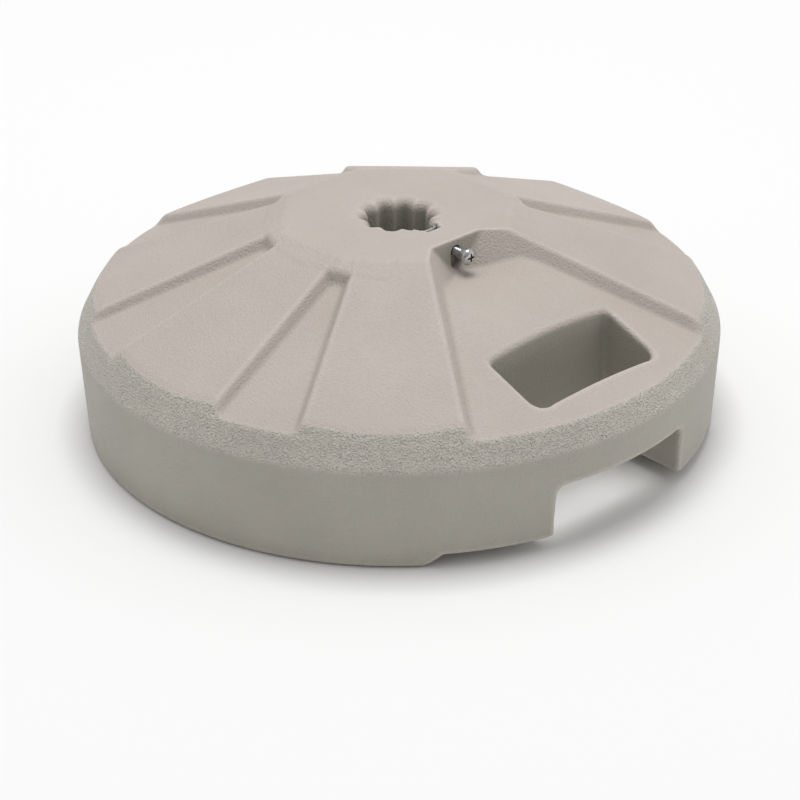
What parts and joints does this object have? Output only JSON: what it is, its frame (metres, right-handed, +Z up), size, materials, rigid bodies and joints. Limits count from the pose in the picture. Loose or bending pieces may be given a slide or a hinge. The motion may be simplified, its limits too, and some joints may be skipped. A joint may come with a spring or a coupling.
{
  "type": "parasol base",
  "caption": "Low round weighted base with a lobed central pole socket, flat radial petals, and a cut-out carrying handle beside the pole clamp screw.",
  "frame": {"origin": "on the floor under the middle of the pole bore", "axes": "+Z up along the pole; +X from the bore towards the clamp screw and the carrying handle"},
  "size_m": [0.49, 0.49, 0.163],
  "materials": {
    "shell_plastic": "fine moulded grain, coarser pebble on the shoulder",
    "concrete": "cast, rough",
    "plug_plastic": "satin",
    "zinc_steel": "zinc plated",
    "chrome_steel": "polished"
  },
  "bodies": {
    "base": {"shell": "shell_plastic", "concrete_ballast": "concrete", "fill_plug": "plug_plastic", "pole_clip": "zinc_steel", "square_nut": "zinc_steel"},
    "collar": {"screw_collar": "chrome_steel"},
    "screw": {"clamp_screw": "chrome_steel"}
  },
  "joints": [
    {"name": "screw_advance", "type": "slide", "parent": "base", "child": "collar", "axis": [-1, 0, 0], "range_m": [-0.0038, 0.0061]},
    {"name": "screw_turn", "type": "hinge", "parent": "collar", "child": "screw", "pos_m": [0.0757, 0, 0.1528], "axis": [-1, 0, 0], "range_deg": [-1080, 1728]}
  ],
  "couplings": [
    {"joint": "screw_advance", "follows": "screw_turn", "m_per_rad": 0.00019894}
  ]
}
